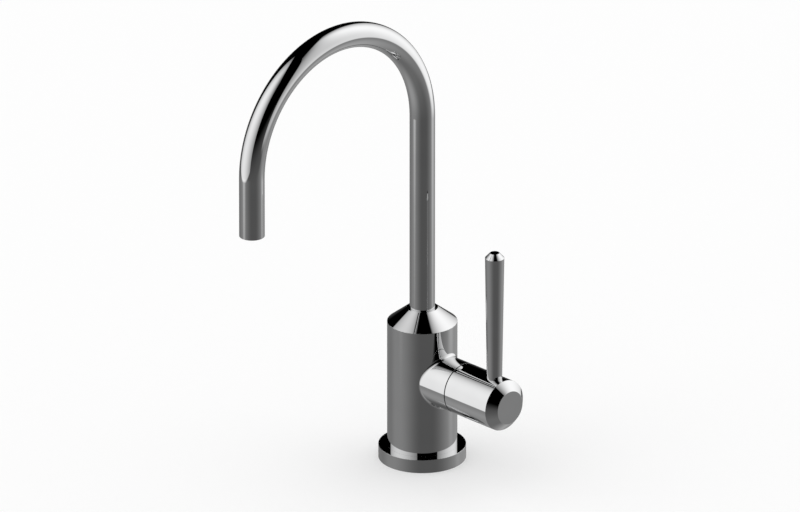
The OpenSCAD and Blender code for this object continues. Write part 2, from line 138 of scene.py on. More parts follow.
# Barrel, hub and lever
AXIS_Z = (LOW["handle_hub"][Z] + HIGH["handle_hub"][Z]) / 2
BARREL_R = HIGH["handle_hub"][Z] - AXIS_Z
BARREL_X0 = LOW["valve_barrel"][X]
BARREL_X1 = HIGH["valve_barrel"][X]
BARREL_SPIGOT_R = 12.0
FILLET_R = 2.0
SEAT_X = LOW["seat_seal"][X]
SPIGOT_X = BARREL_X0 - FIT
CARTRIDGE_R = 9.0 + FIT
POCKET_R = 11.9
POCKET_DEPTH = 2.05
POCKET_X = BARREL_X1 - POCKET_DEPTH
GROOVE_PLAY = 0.21
GROOVE_X = LOW["barrel_o_ring"][X] - GROOVE_PLAY
GROOVE_W = 1.82
GROOVE_R = 10.6
HUB_X0 = LOW["handle_hub"][X]
HUB_END = HIGH["handle_hub"][X]
HUB_BEVEL = 4.9
HUB_X1 = HUB_END - HUB_BEVEL
HUB_FACE_R = 9.8
HUB_BORE_R = 12.25
CLIP_ROOM = 1.5
HUB_BORE_X = HIGH["spindle_clip"][X] + CLIP_ROOM
SPINDLE_R = 4.0 + FIT
SPINDLE_END = HIGH["spindle"][X] + FIT
LEVER_R = 5.5
LEVER_X = HIGH["lever_rod"][X] - LEVER_R
LEVER_TIP = HIGH["lever_rod"][Z]
LEVER_FOOT = LOW["lever_rod"][Z]
LEVER_BEVEL = 3.0
LEVER_SHOULDER = LEVER_TIP - LEVER_BEVEL
LEVER_TIP_R = 2.7
LEVER_ROOT_R = 4.4
LEVER_SEAT_DEPTH = 2.6
LEVER_SEAT = AXIS_Z + BARREL_R - LEVER_SEAT_DEPTH
STUD_R = 2.9

# Thread and nut below the worktop
THREAD_PITCH = 1.814
THREAD_DEPTH = 1.16
THREAD_LEAD = 0.6
THREAD_LOW = SHANK_FOOT + THREAD_LEAD
THREAD_HIGH = -8.0
THREAD_FLAT = 0.12
THREAD_OVERRUN = 1.9 * THREAD_PITCH
NUT_LOW = LOW["lock_nut"][Z]
NUT_TOP = HIGH["lock_nut"][Z]
NUT_CORNER_R = HIGH["lock_nut"][X]
NUT_FLAT_R = HIGH["lock_nut"][Y]
NUT_BEVEL = 1.5

# Fineness of the meshes
SIDES = 192
BORE_SIDES = 96
THREAD_SIDES = 64
THREAD_ROWS = 8
SHARP_EDGE = 35.0
EDGE_STEPS = 5
FILLET_STEPS = 10
ARC_STEPS = 160
STRAIGHT_STEPS = 8

# Distance of a point on a surface, of points on one spot, and how far two normals agree
ON_SURFACE = 0.01
WELD = 0.002
SAME_SIDE = 0.7

# Camera, set to the photograph's viewing angle through a very long lens
CAMERA_AZIMUTH = 46.16
CAMERA_ELEVATION = 22.99
CAMERA_LENS = 1000.0
CAMERA_SENSOR = 36.0
CAMERA_DISTANCE = 12.657
AIM_RIGHT = -12.645
AIM_UP = 113.77

UPRIGHT = Matrix.Identity(4)
VALVE_AXIS = Matrix(((0, 0, 1, 0), (1, 0, 0, 0), (0, 1, 0, AXIS_Z), (0, 0, 0, 1)))


# Turned pieces


def outline(corners):
    """Closed outline of a turned section, counter-clockwise, with rounded edges.

    A corner is (radius, height) or (radius, height, edge radius). Returns the outline's points and the
    runs that they lie on: (point, normal) for a straight run, (centre, edge radius, side) for a round one.
    """
    corners = [(*c, 0.0)[:3] for c in corners]
    following = corners[1:] + corners[:1]
    if sum(a[0] * b[1] - b[0] * a[1] for a, b in zip(corners, following)) < 0:
        corners.reverse()
    points = []
    runs = []
    for i, (radius, height, edge) in enumerate(corners):
        here = Vector((radius, height))
        back = (Vector(corners[i - 1][:2]) - here).normalized()
        ahead = (Vector(corners[(i + 1) % len(corners)][:2]) - here).normalized()
        runs.append((here, Vector((ahead.y, -ahead.x))))
        if edge == 0:
            points.append(here)
            continue
        half = back.angle(ahead) / 2
        centre = here + (back + ahead).normalized() * edge / math.sin(half)
        start = here + back * edge / math.tan(half) - centre
        side = 1 if ahead.x * back.y - ahead.y * back.x > 0 else -1
        sweep = side * (math.pi - 2 * half)
        for k in range(EDGE_STEPS + 1):
            points.append(centre + Matrix.Rotation(sweep * k / EDGE_STEPS, 2) @ start)
        runs.append((centre, edge, side))
    return points, runs


def strip(low, high):
    """Faces between two rings of vertices; a ring of one vertex is a pole."""
    if len(low) == 1 and len(high) == 1:
        return []
    count = max(len(low), len(high))
    faces = []
    for k in range(count):
        after = (k + 1) % count
        if len(low) == 1:
            faces.append((low[0], high[after], high[k]))
        elif len(high) == 1:
            faces.append((low[k], low[after], high[0]))
        else:
            faces.append((low[k], low[after], high[after], high[k]))
    return faces


def new_piece(name, verts, faces):
    """Object with a mesh of these vertices, in millimetres, and faces."""
    mesh = bpy.data.meshes.new(name)
    mesh.from_pydata([Vector(v) * MM for v in verts], [], faces)
    mesh.update()
    piece = bpy.data.objects.new(name, mesh)
    bpy.context.scene.collection.objects.link(piece)
    return piece


def turned(name, corners, place=UPRIGHT, sides=SIDES, bend=None):
    """Piece turned from an outline about its own axis.

    bend gives a point of the outline, by its turn, another place, and a normal or None.
    """
    points, runs = outline(corners)
    verts = []
    rings = []
    given = {}
    for radius, height in points:
        count = 1 if radius < FIT / 2 else sides
        rings.append(list(range(len(verts), len(verts) + count)))
        for k in range(count):
            turn = 2 * math.pi * k / sides
            spot = Vector((radius * math.cos(turn), radius * math.sin(turn), height))
            if bend:
                spot, normal = bend(radius, height, turn)
                if normal:
                    given[len(verts)] = normal
            verts.append(place @ spot)
    faces = []
    for low, high in zip(rings, rings[1:] + rings[:1]):
        faces += strip(low, high)
    piece = new_piece(name, verts, faces)
    set_turned_normals(piece.data, runs, place, given)
    return piece


def set_turned_normals(mesh, runs, place, given=()):
    """Gives each face the exact normals of the run that it lies on, so that mirrored light runs true.

    A face whose vertices are all in given takes theirs.
    """
    co = np.empty(len(mesh.vertices) * 3)
    mesh.vertices.foreach_get("co", co)
    turn = np.array(place.to_3x3())
    co = (co.reshape(-1, 3) / MM - np.array(place.translation)) @ turn
    radius = np.hypot(co[:, 0], co[:, 1])
    unit = co[:, :2] / np.maximum(radius, ON_SURFACE)[:, None]
    corner = np.empty(len(mesh.loops), int)
    mesh.loops.foreach_get("vertex_index", corner)
    first = np.empty(len(mesh.polygons), int)
    mesh.polygons.foreach_get("loop_start", first)
    count = np.empty(len(mesh.polygons), int)
    mesh.polygons.foreach_get("loop_total", count)
    flat = np.empty(len(mesh.polygons) * 3)
    mesh.polygons.foreach_get("normal", flat)
    normals = np.repeat(flat.reshape(-1, 3) @ turn, count, axis=0)
    flat = normals.copy()
    best = np.full(len(mesh.polygons), ON_SURFACE)
    for run in runs:
        section = np.stack([radius - run[0].x, co[:, 2] - run[0].y], 1)
        if len(run) == 2:
            away = np.abs(section @ np.array(run[1]))
            across = np.tile(np.array(run[1]), (len(section), 1))
        else:
            reach = np.maximum(np.hypot(section[:, 0], section[:, 1]), 1e-9)
            away = np.abs(reach - run[1])
            across = run[2] * section / reach[:, None]
        exact = np.column_stack([across[:, :1] * unit, across[:, 1:]])[corner]
        agree = np.add.reduceat((exact * flat).sum(1), first) / count
        worst = np.maximum.reduceat(away[corner], first)
        better = (worst < best) & (agree > SAME_SIDE)
        best[better] = worst[better]
        chosen = np.repeat(better, count)
        normals[chosen] = exact[chosen]
    for face in mesh.polygons:
        if all(v in given for v in face.vertices):
            for loop, v in zip(face.loop_indices, face.vertices):
                normals[loop] = given[v]
    normals = normals @ turn.T
    mesh.shade_smooth()
    mesh.normals_split_custom_set(normals.tolist())


def rework(mesh, change):
    """Changes a mesh in place."""
    work = bmesh.new()
    work.from_mesh(mesh)
    change(work)
    work.to_mesh(mesh)
    work.free()


def weld(work):
    """Joins the vertices that a cut leaves on one spot."""
    bmesh.ops.remove_doubles(work, verts=work.verts, dist=WELD * MM)


def split_faces(work):
    """Splits the faces of many corners into triangles."""
    bmesh.ops.triangulate(work, faces=[f for f in work.faces if len(f.verts) > 4])


def carve(piece, cutter, operation="DIFFERENCE"):
    """Cuts a piece with a cutter, or keeps what they share, and removes the cutter."""
    change = piece.modifiers.new("carve", "BOOLEAN")
    change.operation = operation
    change.solver = "EXACT"
    change.object = cutter
    bpy.context.view_layer.update()
    shaped = piece.evaluated_get(bpy.context.evaluated_depsgraph_get())
    mesh = bpy.data.meshes.new_from_object(shaped)
    rework(mesh, weld)
    piece.modifiers.clear()
    piece.data = mesh
    bpy.data.objects.remove(cutter)


def carve_turned(piece, corners, place, cutters):
    """Cuts a turned piece and gives its turned faces their exact normals again."""
    for cutter in cutters:
        carve(piece, cutter)
    set_turned_normals(piece.data, outline(corners)[1], place)


def rod(name, radius, low, high, place=UPRIGHT):
    """Plain round cutter."""
    return turned(name, [(0, low), (radius, low), (radius, high), (0, high)], place, BORE_SIDES)


def flange_ring():
    groove_in = GASKET_R - GASKET_W - FIT
    groove_out = GASKET_R + FIT
    bore = SHANK_R + FREE
    return turned("flange_ring", [
        (bore, 0), (groove_in, 0), (groove_in, GASKET_TOP), (groove_out, GASKET_TOP), (groove_out, 0),
        (FLANGE_R, 0, FLANGE_EDGE), (FLANGE_R, FLANGE_TOP, FLANGE_EDGE),
        (SPIGOT_R + FIT, FLANGE_TOP), (SPIGOT_R + FIT, BODY_FOOT), (bore, BODY_FOOT),
    ])


def body_column():
    corners = [
        (0, SOCKET_Z), (0, AXIS_Z), (WATER_R, AXIS_Z), (WATER_R, INLET_TOP), (INLET_R, INLET_TOP),
        (INLET_R, SHANK_TOP), (SHANK_R + FIT, SHANK_TOP), (SHANK_R + FIT, BODY_FOOT),
        (SPIGOT_R, BODY_FOOT), (SPIGOT_R, FLANGE_TOP), (BODY_R, FLANGE_TOP, FINE_EDGE),
        (BODY_R, BODY_TOP, FINE_EDGE), (SKIRT_R + FIT, BODY_TOP), (SKIRT_R + FIT, SEAT_Z),
        (SOCKET_R, SEAT_Z), (SOCKET_R, SOCKET_Z),
    ]
    piece = turned("body_column", corners)
    side_bore = turned("side_bore", [
        (0, 0), (WATER_R, 0), (WATER_R, SEAT_X), (CARTRIDGE_R, SEAT_X), (CARTRIDGE_R, SPIGOT_X),
        (BARREL_SPIGOT_R + FIT, SPIGOT_X), (BARREL_SPIGOT_R + FIT, BODY_R + OVER), (0, BODY_R + OVER),
    ], VALVE_AXIS, BORE_SIDES)
    chamber_middle = Matrix.Translation(((SEAT_X + SPIGOT_X) / 2, 0, 0))
    riser = rod("riser", RISER_R, AXIS_Z, SOCKET_Z + OVER, chamber_middle)
    carve_turned(piece, corners, UPRIGHT, [side_bore, riser])
    return piece


def shoulder_cone():
    return turned("shoulder_cone", [
        (SKIRT_RI, SEAT_Z), (SKIRT_R, SEAT_Z), (SKIRT_R, BODY_TOP), (BODY_R, BODY_TOP, FINE_EDGE),
        (LAND_R, SHOULDER_TOP, FINE_EDGE), (LIP_R, SHOULDER_TOP, FINE_EDGE), (LIP_R, BUSH_TOP),
        (BUSH_R, BUSH_TOP), (BUSH_R, BUSH_LOW), (NECK_R, BUSH_LOW), (NECK_R, CAVITY_TOP),
        (SKIRT_RI, CAVITY_TOP),
    ])


def saddle(radius, height, turn):
    """Lays the barrel's foot on the body's round side.

    The fillet between them is the track of a ball that rolls round the joint and touches both.
    """
    spot = Vector((radius * math.cos(turn), radius * math.sin(turn), height))
    if radius > BARREL_R - ON_SURFACE and height < BODY_R + FILLET_R + ON_SURFACE:
        ball = Vector((math.cos(turn), math.sin(turn), 0)) * (BARREL_R + FILLET_R)
        ball.z = math.sqrt((BODY_R + FILLET_R) ** 2 - ball.x ** 2)
        to_body = Vector((-ball.x, 0, -ball.z)).normalized()
        to_barrel = Vector((-ball.x, -ball.y, 0)).normalized()
        swing = math.atan2(BARREL_R + FILLET_R - radius, BODY_R + FILLET_R - height)
        touch = to_body.slerp(to_barrel, swing / (math.pi / 2))
        return ball + touch * FILLET_R, -touch
    if height == BODY_R:
        spot.z = math.sqrt(BODY_R ** 2 - spot.x ** 2)
    return spot, None


def barrel_sleeve():
    fillet = []
    for k in range(FILLET_STEPS + 1):
        swing = math.pi / 2 * k / FILLET_STEPS
        radius = BARREL_R + FILLET_R * (1 - math.sin(swing))
        fillet.append((radius, BODY_R + FILLET_R * (1 - math.cos(swing))))
    return turned("barrel_sleeve", [
        (CARTRIDGE_R, BARREL_X0), (BARREL_SPIGOT_R, BARREL_X0), (BARREL_SPIGOT_R, GROOVE_X),
        (GROOVE_R, GROOVE_X), (GROOVE_R, GROOVE_X + GROOVE_W), (BARREL_SPIGOT_R, GROOVE_X + GROOVE_W),
        (BARREL_SPIGOT_R, BODY_R), *fillet, (BARREL_R, BARREL_X1, FINE_EDGE),
        (POCKET_R, BARREL_X1), (POCKET_R, POCKET_X), (CARTRIDGE_R, POCKET_X),
    ], VALVE_AXIS, bend=saddle)


def hub_turned():
    corners = [
        (HUB_BORE_R, HUB_X0), (BARREL_R, HUB_X0, FINE_EDGE), (BARREL_R, HUB_X1, SOFT_EDGE),
        (HUB_FACE_R, HUB_END, SOFT_EDGE), (0, HUB_END), (0, SPINDLE_END), (SPINDLE_R, SPINDLE_END),
        (SPINDLE_R, HUB_BORE_X), (HUB_BORE_R, HUB_BORE_X),
    ]
    piece = turned("hub_turned", corners, VALVE_AXIS)
    lever_axis = Matrix.Translation((LEVER_X, 0, 0))
    top = AXIS_Z + BARREL_R + OVER
    stud_hole = rod("stud_hole", STUD_R + FIT, AXIS_Z, top, lever_axis)
    seat_hole = rod("seat_hole", LEVER_ROOT_R + FIT, LEVER_SEAT, top, lever_axis)
    carve_turned(piece, corners, VALVE_AXIS, [stud_hole, seat_hole])
    return piece


def lever_stem():
    return turned("lever_stem", [
        (0, LEVER_FOOT), (STUD_R, LEVER_FOOT), (STUD_R, LEVER_SEAT), (LEVER_ROOT_R, LEVER_SEAT),
        (LEVER_ROOT_R, AXIS_Z + BARREL_R), (LEVER_R, LEVER_SHOULDER, SOFT_EDGE),
        (LEVER_TIP_R, LEVER_TIP, SOFT_EDGE), (0, LEVER_TIP),
    ], Matrix.Translation((LEVER_X, 0, 0)))


def outlet_nozzle():
    lip = INSERT_RI - INSERT_LIP
    return turned("outlet_nozzle", [
        (lip, INSERT_Z, FINE_EDGE), (INSERT_R, INSERT_Z, FINE_EDGE), (INSERT_R, INSERT_TOP),
        (INSERT_RI, INSERT_TOP), (INSERT_RI, INSERT_Z + INSERT_LIP), (lip, INSERT_Z + INSERT_LIP),
    ], Matrix.Translation((0, -REACH, 0)))


# Bent spout


def neck_path():
    """Stations of the spout's middle line: (y, z, angle of bend)."""
    path = [(0.0, float(z), 0.0) for z in np.linspace(TUBE_FOOT, SPRING_Z, STRAIGHT_STEPS + 1)[:-1]]
    for turn in np.linspace(0, math.pi, ARC_STEPS + 1):
        path.append((BEND_R * (math.cos(turn) - 1), SPRING_Z + BEND_R * math.sin(turn), float(turn)))
    drop = np.linspace(SPRING_Z, OUTLET_Z + SOFT_EDGE, STRAIGHT_STEPS + 1)[1:]
    return path + [(-REACH, float(z), math.pi) for z in drop]


def neck_bands():
    """Bands of the tube's skin.

    A band's rows are (y, z, bend, radius, outward, along), the last two of which give its normal.
    """
    path = neck_path()
    quarter = [math.pi / 2 * k / EDGE_STEPS for k in range(EDGE_STEPS + 1)]
    edge = SOFT_EDGE
    outer = [(*p, TUBE_R, 1.0, 0.0) for p in path]
    outer_edge = [
        (-REACH, OUTLET_Z + edge - edge * math.sin(q), math.pi, TUBE_R - edge + edge * math.cos(q),
         math.cos(q), math.sin(q)) for q in quarter
    ]
    inner_edge = [
        (-REACH, OUTLET_Z + edge - edge * math.cos(q), math.pi, TUBE_RI + edge - edge * math.sin(q),
         -math.sin(q), math.cos(q)) for q in quarter
    ]
    lip = [(*outer_edge[-1][:4], 0.0, 1.0), (*inner_edge[0][:4], 0.0, 1.0)]
    inner = [(*p, TUBE_RI, -1.0, 0.0) for p in reversed(path)]
    foot = [(*path[0], TUBE_RI, 0.0, -1.0), (*path[0], TUBE_R, 0.0, -1.0)]
    return [outer, outer_edge, lip, inner_edge, inner, foot]


def swan_neck():
    """Tube bent over in a half circle, open at both ends."""
    verts = []
    rings = {}
    faces = []
    normals = []
    turns = [2 * math.pi * k / SIDES for k in range(SIDES)]

    def axes(bend):
        return Vector((0, math.cos(bend), math.sin(bend))), Vector((0, -math.sin(bend), math.cos(bend)))

    def ring(row):
        key = tuple(round(v, 4) for v in row[:4])
        if key not in rings:
            rings[key] = range(len(verts), len(verts) + SIDES)
            out, _ = axes(row[2])
            for t in turns:
                middle = Vector((0, row[0], row[1]))
                verts.append(middle + row[3] * (math.cos(t) * out + math.sin(t) * Vector((1, 0, 0))))
        return rings[key]

    def normal(row, t):
        out, along = axes(row[2])
        return row[4] * (math.cos(t) * out + math.sin(t) * Vector((1, 0, 0))) + row[5] * along

    for band in neck_bands():
        for near, far in zip(band, band[1:]):
            near_ring = ring(near)
            far_ring = ring(far)
            for k in range(SIDES):
                after = (k + 1) % SIDES
                faces.append((near_ring[k], far_ring[k], far_ring[after], near_ring[after]))
                normals += [normal(near, turns[k]), normal(far, turns[k])]
                normals += [normal(far, turns[after]), normal(near, turns[after])]
    piece = new_piece("swan_neck", verts, faces)
    piece.data.shade_smooth()
    piece.data.normals_split_custom_set(normals)
    return piece


# Threaded pieces


def thread_share(phase):
    """Height of the thread at a phase of its pitch, from 0 at the root to 1 at the crest."""
    away = np.abs(phase % 1.0 - 0.5) * 2
    return np.clip((1 - away - THREAD_FLAT) / (1 - 2 * THREAD_FLAT), 0, 1)


def threaded_rod(name, low, high, thread_low, thread_high, gap=0.0, runs_out=True):
    """Solid upright rod whose side carries a helical thread between two levels."""
    major = SHANK_R + gap
    minor = major - THREAD_DEPTH
    turns = np.arange(THREAD_SIDES) * 2 * math.pi / THREAD_SIDES
    rows = round((thread_high - thread_low) / THREAD_PITCH * THREAD_ROWS)
    shape = [(low, minor - THREAD_DEPTH / 2 + 0 * turns)]
    for k in range(rows + 1):
        level = thread_low + (thread_high - thread_low) * k / rows
        fade = min(1.0, k / THREAD_ROWS, (rows - k) / THREAD_ROWS) if runs_out else 1.0
        phase = (level - THREAD_LOW) / THREAD_PITCH - turns / (2 * math.pi)
        shape.append((level, minor + THREAD_DEPTH * fade * thread_share(phase)))
    shape.append((thread_high + THREAD_DEPTH / 2, major + 0 * turns))
    shape.append((high, major + 0 * turns))
    verts = [(0, 0, low)]
    rings = [[0]]
    for level, radii in shape:
        rings.append(list(range(len(verts), len(verts) + THREAD_SIDES)))
        verts += [(r * math.cos(t), r * math.sin(t), level) for r, t in zip(radii, turns)]
    rings.append([len(verts)])
    verts.append((0, 0, high))
    faces = []
    for below, above in zip(rings, rings[1:]):
        faces += strip(below, above)
    return new_piece(name, verts, faces)


def crease(piece):
    """Smooth shading that keeps the sharp edges."""
    piece.data.shade_smooth()
    piece.data.set_sharp_from_angle(angle=math.radians(SHARP_EDGE))
    return piece


def shank_threaded():
    piece = threaded_rod("shank_threaded", SHANK_FOOT, SHANK_TOP, THREAD_LOW, THREAD_HIGH)
    carve(piece, rod("shank_bore", SHANK_BORE_R, SHANK_FOOT - OVER, SHANK_TOP + OVER))
    return crease(piece)


def nut_threaded():
    corners = [(math.cos(k * math.pi / 3), math.sin(k * math.pi / 3)) for k in range(6)]
    verts = [(NUT_CORNER_R * x, NUT_CORNER_R * y, z) for z in (NUT_LOW, NUT_TOP) for x, y in corners]
    faces = strip(list(range(6)), list(range(6, 12)))
    faces += [tuple(range(5, -1, -1)), tuple(range(6, 12))]
    piece = new_piece("nut_threaded", verts, faces)
    wide = NUT_FLAT_R + 2 * NUT_BEVEL
    shoulder = NUT_FLAT_R + NUT_BEVEL
    carve(piece, turned("nut_bevels", [
        (0, NUT_LOW), (NUT_FLAT_R, NUT_LOW), (wide, NUT_LOW + NUT_BEVEL), (wide, NUT_TOP - NUT_BEVEL / 2),
        (shoulder, NUT_TOP), (0, NUT_TOP),
    ], sides=BORE_SIDES), "INTERSECT")
    low = NUT_LOW - THREAD_OVERRUN
    high = NUT_TOP + THREAD_OVERRUN
    carve(piece, threaded_rod("nut_thread", low - OVER, high + OVER, low, high, FIT, runs_out=False))
    rework(piece.data, split_faces)
    return crease(piece)


# Materials

# Span that most of a noise lies in, and distance of a wave texture's bands at scale 1
NOISE_LOW = 0.3
NOISE_HIGH = 0.7
WAVE_BAND = 0.314


class Finish:
    """One procedural material: its nodes, and short ways to link them."""

    def __init__(self, name, **inputs):
        self.material = bpy.data.materials.new(name)
        self.material.use_nodes = True
        self.tree = self.material.node_tree
        self.shader = self.tree.nodes["Principled BSDF"]
        for socket, value in inputs.items():
            self.shader.inputs[socket.replace("_", " ")].default_value = value
        self.place = self.tree.nodes.new("ShaderNodeTexCoord").outputs["Object"]

    def link(self, source, target):
        self.tree.links.new(source, target)

    def noise(self, size, detail=2.0, stretch=(1, 1, 1)):
        """Noise whose features are about so many millimetres across, longer where stretch is over 1."""
        mapping = self.tree.nodes.new("ShaderNodeMapping")
        mapping.inputs["Scale"].default_value = [1 / s for s in stretch]
        self.link(self.place, mapping.inputs["Vector"])
        noise = self.tree.nodes.new("ShaderNodeTexNoise")
        noise.inputs["Scale"].default_value = 1 / (size * MM)
        noise.inputs["Detail"].default_value = detail
        self.link(mapping.outputs["Vector"], noise.inputs["Vector"])
        return noise.outputs["Fac"]

    def rings(self, pitch, axis):
        """Fine tool marks along an axis, so many millimetres apart."""
        wave = self.tree.nodes.new("ShaderNodeTexWave")
        wave.bands_direction = axis
        wave.inputs["Scale"].default_value = WAVE_BAND / (pitch * MM)
        wave.inputs["Distortion"].default_value = 1.5
        wave.inputs["Detail"].default_value = 2.0
        self.link(self.place, wave.inputs["Vector"])
        return wave.outputs["Fac"]

    def colour(self, source, dark, light):
        """Base colour that varies between two tones."""
        ramp = self.tree.nodes.new("ShaderNodeValToRGB")
        ramp.color_ramp.elements[0].position = NOISE_LOW
        ramp.color_ramp.elements[1].position = NOISE_HIGH
        ramp.color_ramp.elements[0].color = (*dark, 1)
        ramp.color_ramp.elements[1].color = (*light, 1)
        self.link(source, ramp.inputs["Fac"])
        self.link(ramp.outputs["Color"], self.shader.inputs["Base Color"])

    def roughness(self, source, low, high):
        """Roughness that varies between two values."""
        scale = self.tree.nodes.new("ShaderNodeMapRange")
        scale.inputs["From Min"].default_value = NOISE_LOW
        scale.inputs["From Max"].default_value = NOISE_HIGH
        scale.inputs["To Min"].default_value = low
        scale.inputs["To Max"].default_value = high
        self.link(source, scale.inputs["Value"])
        self.link(scale.outputs["Result"], self.shader.inputs["Roughness"])

    def bump(self, source, depth, strength=1.0):
        """Relief so many millimetres deep."""
        bump = self.tree.nodes.new("ShaderNodeBump")
        bump.inputs["Distance"].default_value = depth * MM
        bump.inputs["Strength"].default_value = strength
        self.link(source, bump.inputs["Height"])
        self.link(bump.outputs["Normal"], self.shader.inputs["Normal"])


def chrome_plate():
    """Bright chrome plate: clean mirror, with the faint haze and orange peel that polishing leaves."""
    finish = Finish("chrome_plate", Metallic=1.0)
    haze = finish.noise(14.0, detail=4.0)
    finish.colour(haze, (0.685, 0.687, 0.69), (0.71, 0.712, 0.715))
    finish.roughness(finish.noise(3.0, detail=5.0), 0.012, 0.035)
    finish.bump(finish.noise(2.2), 0.0012)
    return finish.material


def turned_brass(name, axis):
    """Turned brass with fine tool marks along the axis that it was turned about."""
    finish = Finish(name, Metallic=1.0)
    finish.colour(finish.noise(5.0, detail=4.0), (0.62, 0.42, 0.17), (0.74, 0.53, 0.25))
    finish.roughness(finish.noise(2.0, detail=4.0), 0.34, 0.48)
    finish.bump(finish.rings(0.25, axis), 0.004)
    return finish.material


def sealing_rubber():
    """Matt black rubber with the grain of its mould."""
    finish = Finish("sealing_rubber", Specular_IOR_Level=0.35)
    finish.colour(finish.noise(3.0, detail=3.0), (0.014, 0.014, 0.015), (0.03, 0.03, 0.031))
    finish.roughness(finish.noise(1.0), 0.62, 0.8)
    finish.bump(finish.noise(0.25), 0.02)
    return finish.material


def moulded_plastic(name, dark, light, gloss):
    """Moulded plastic with a fine eroded texture."""
    finish = Finish(name)
    finish.colour(finish.noise(4.0, detail=3.0), dark, light)
    finish.roughness(finish.noise(0.8), gloss, gloss + 0.14)
    finish.bump(finish.noise(0.18), 0.006)
    return finish.material


def lapped_ceramic():
    """Alumina ceramic, lapped on its faces, with fine specks."""
    finish = Finish("lapped_ceramic", Coat_Weight=0.3, Coat_Roughness=0.06)
    finish.colour(finish.noise(0.35, detail=6.0), (0.80, 0.78, 0.71), (0.88, 0.86, 0.80))
    finish.roughness(finish.noise(2.0), 0.1, 0.2)
    finish.bump(finish.noise(0.3), 0.002)
    return finish.material


def stamped_steel():
    """Zinc-plated stamped steel with drawn marks."""
    finish = Finish("stamped_steel", Metallic=1.0)
    finish.colour(finish.noise(6.0, detail=5.0), (0.50, 0.51, 0.53), (0.64, 0.65, 0.67))
    finish.roughness(finish.noise(1.5, detail=4.0), 0.24, 0.42)
    finish.bump(finish.noise(0.3, detail=3.0, stretch=(12, 1, 1)), 0.006)
    return finish.material


# Stage and light. A sun has an azimuth from the camera, an elevation and a strength.

FLOOR_HALF = 20.0
FLOOR_TONE = 0.98
AMBIENT = 0.8
SUN_LEFT = (-75.0, 48.0, 0.44)
SUN_RIGHT = (110.0, 42.0, 0.48)
SUN_SPREAD = 75.0
DOME_R = 14.0
DOME_SIDES = 48
DOME_ROWS = 24
MIRROR = 0.72


def floor_plane():
    """Plain pale worktop, seen from above only."""
    half = FLOOR_HALF / MM
    floor = new_piece("floor", [(-half, -half, 0), (half, -half, 0), (half, half, 0), (-half, half, 0)],
                      [(0, 1, 2, 3)])
    material = bpy.data.materials.new("pale_floor")
    material.use_nodes = True
    tree = material.node_tree
    shader = tree.nodes["Principled BSDF"]
    shader.inputs["Base Color"].default_value = (FLOOR_TONE, FLOOR_TONE, FLOOR_TONE, 1)
    shader.inputs["Roughness"].default_value = 1.0
    shader.inputs["Specular IOR Level"].default_value = 0.0
    clear = tree.nodes.new("ShaderNodeBsdfTransparent")
    mix = tree.nodes.new("ShaderNodeMixShader")
    side = tree.nodes.new("ShaderNodeNewGeometry")
    tree.links.new(side.outputs["Backfacing"], mix.inputs["Fac"])
    tree.links.new(shader.outputs["BSDF"], mix.inputs[1])
    tree.links.new(clear.outputs["BSDF"], mix.inputs[2])
    tree.links.new(mix.outputs["Shader"], tree.nodes["Material Output"].inputs["Surface"])
    floor.data.materials.append(material)
    floor.visible_glossy = False


